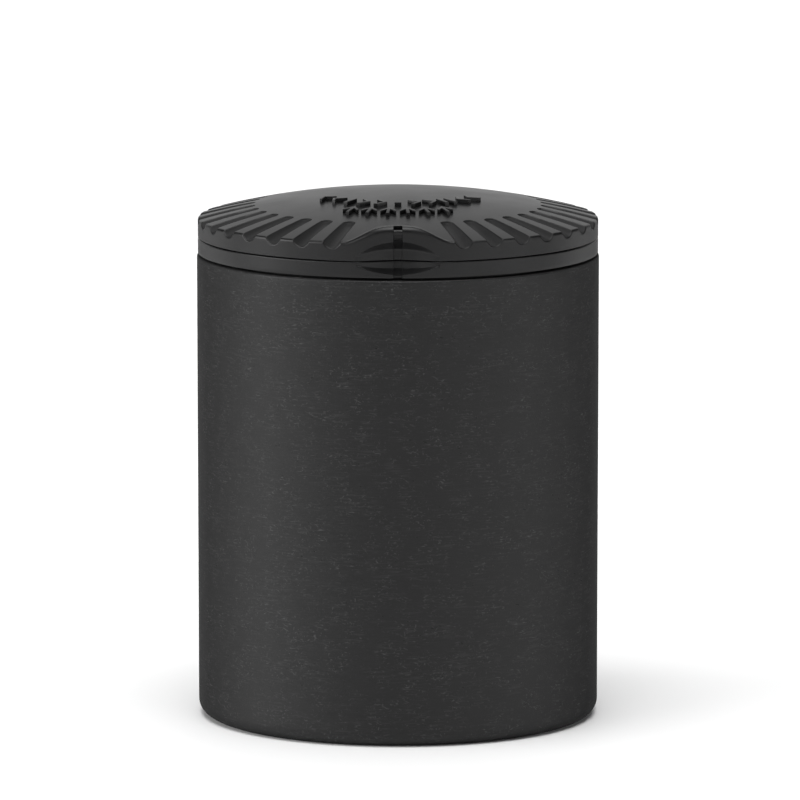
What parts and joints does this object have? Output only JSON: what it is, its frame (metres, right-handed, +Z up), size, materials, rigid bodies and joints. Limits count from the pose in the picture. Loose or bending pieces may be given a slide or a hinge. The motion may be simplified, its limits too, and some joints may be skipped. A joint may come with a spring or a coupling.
{
  "type": "child-resistant storage canister",
  "caption": "Round flecked jar with a low domed cap that turns freely and lifts off only where its mark meets the mark on the collar below it.",
  "frame": {"origin": "centre of the flat ring that the jar stands on", "axes": "+Z up along the jar's axis, -Y towards the front, where the thumb scoop and the alignment marks are"},
  "size_m": [0.06, 0.06, 0.0788],
  "materials": {
    "jar_composite": "matte, fine fibre flecks",
    "lid_plastic": "satin, smooth moulded",
    "seal_rubber": "soft matte"
  },
  "bodies": {
    "jar": {"jar_shell": "jar_composite", "lock_collar": "lid_plastic", "collar_seal": "seal_rubber"},
    "seal": {"lid_seal": "seal_rubber"},
    "cap": {"cap": "lid_plastic"}
  },
  "joints": [
    {"name": "cap_lift", "type": "slide", "parent": "jar", "child": "seal", "axis": [0, 0, 1], "range_m": [0, 0.025]},
    {"name": "cap_twist", "type": "hinge", "parent": "seal", "child": "cap", "pos_m": [0, 0, 0.07225], "axis": [0, 0, 1], "continuous": true}
  ]
}
